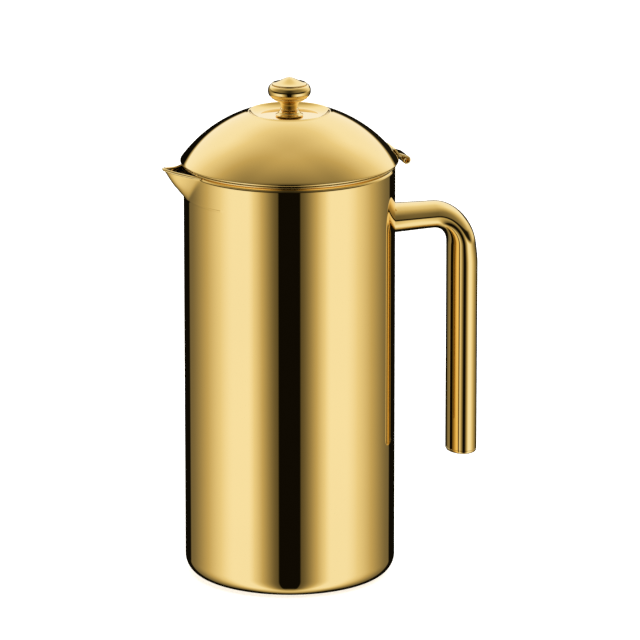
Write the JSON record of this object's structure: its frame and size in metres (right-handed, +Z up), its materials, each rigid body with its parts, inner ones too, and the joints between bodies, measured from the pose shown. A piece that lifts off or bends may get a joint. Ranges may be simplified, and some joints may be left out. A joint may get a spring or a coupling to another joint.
{
  "type": "french press",
  "caption": "Double-walled French press with a straight round pot, V-shaped pouring spout, upside-down-L tube handle, domed lid with a thumb tab, and a knobbed plunger with a mesh filter.",
  "frame": {"origin": "centre of the flat base, on the surface that the pot stands on", "axes": "+Z up along the pot's axis, +X towards the handle, -X towards the pouring spout"},
  "size_m": [0.1547, 0.103, 0.2413],
  "materials": {
    "polished_gold": "polished",
    "brushed_steel": "satin",
    "steel_mesh": "satin"
  },
  "bodies": {
    "pot": {"outer_shell": "polished_gold", "liner": "brushed_steel", "base_plate": "polished_gold", "pouring_spout": "polished_gold", "handle_tube": "polished_gold", "handle_end_cap": "polished_gold"},
    "guide": {"guide_ferrule": "polished_gold", "guide_nut": "brushed_steel"},
    "lid": {"lid_dome": "polished_gold", "lid_pan": "polished_gold", "lid_collar": "brushed_steel", "thumb_tab": "polished_gold"},
    "plunger": {"knob": "polished_gold", "plunger_rod": "brushed_steel", "rod_lock_nut": "brushed_steel", "filter_top_plate": "brushed_steel", "filter_spring": "brushed_steel", "filter_mesh": "steel_mesh", "filter_cross_plate": "brushed_steel", "filter_hub_nut": "brushed_steel"}
  },
  "joints": [
    {"name": "lid_lift", "type": "slide", "parent": "pot", "child": "guide", "axis": [0, 0, 1], "range_m": [0, 0.22]},
    {"name": "lid_turn", "type": "hinge", "parent": "guide", "child": "lid", "pos_m": [0, 0, 0.2], "axis": [0, 0, 1], "range_deg": [-160, 160]},
    {"name": "plunger_slide", "type": "slide", "parent": "guide", "child": "plunger", "axis": [0, 0, 1], "range_m": [0, 0.164]}
  ]
}
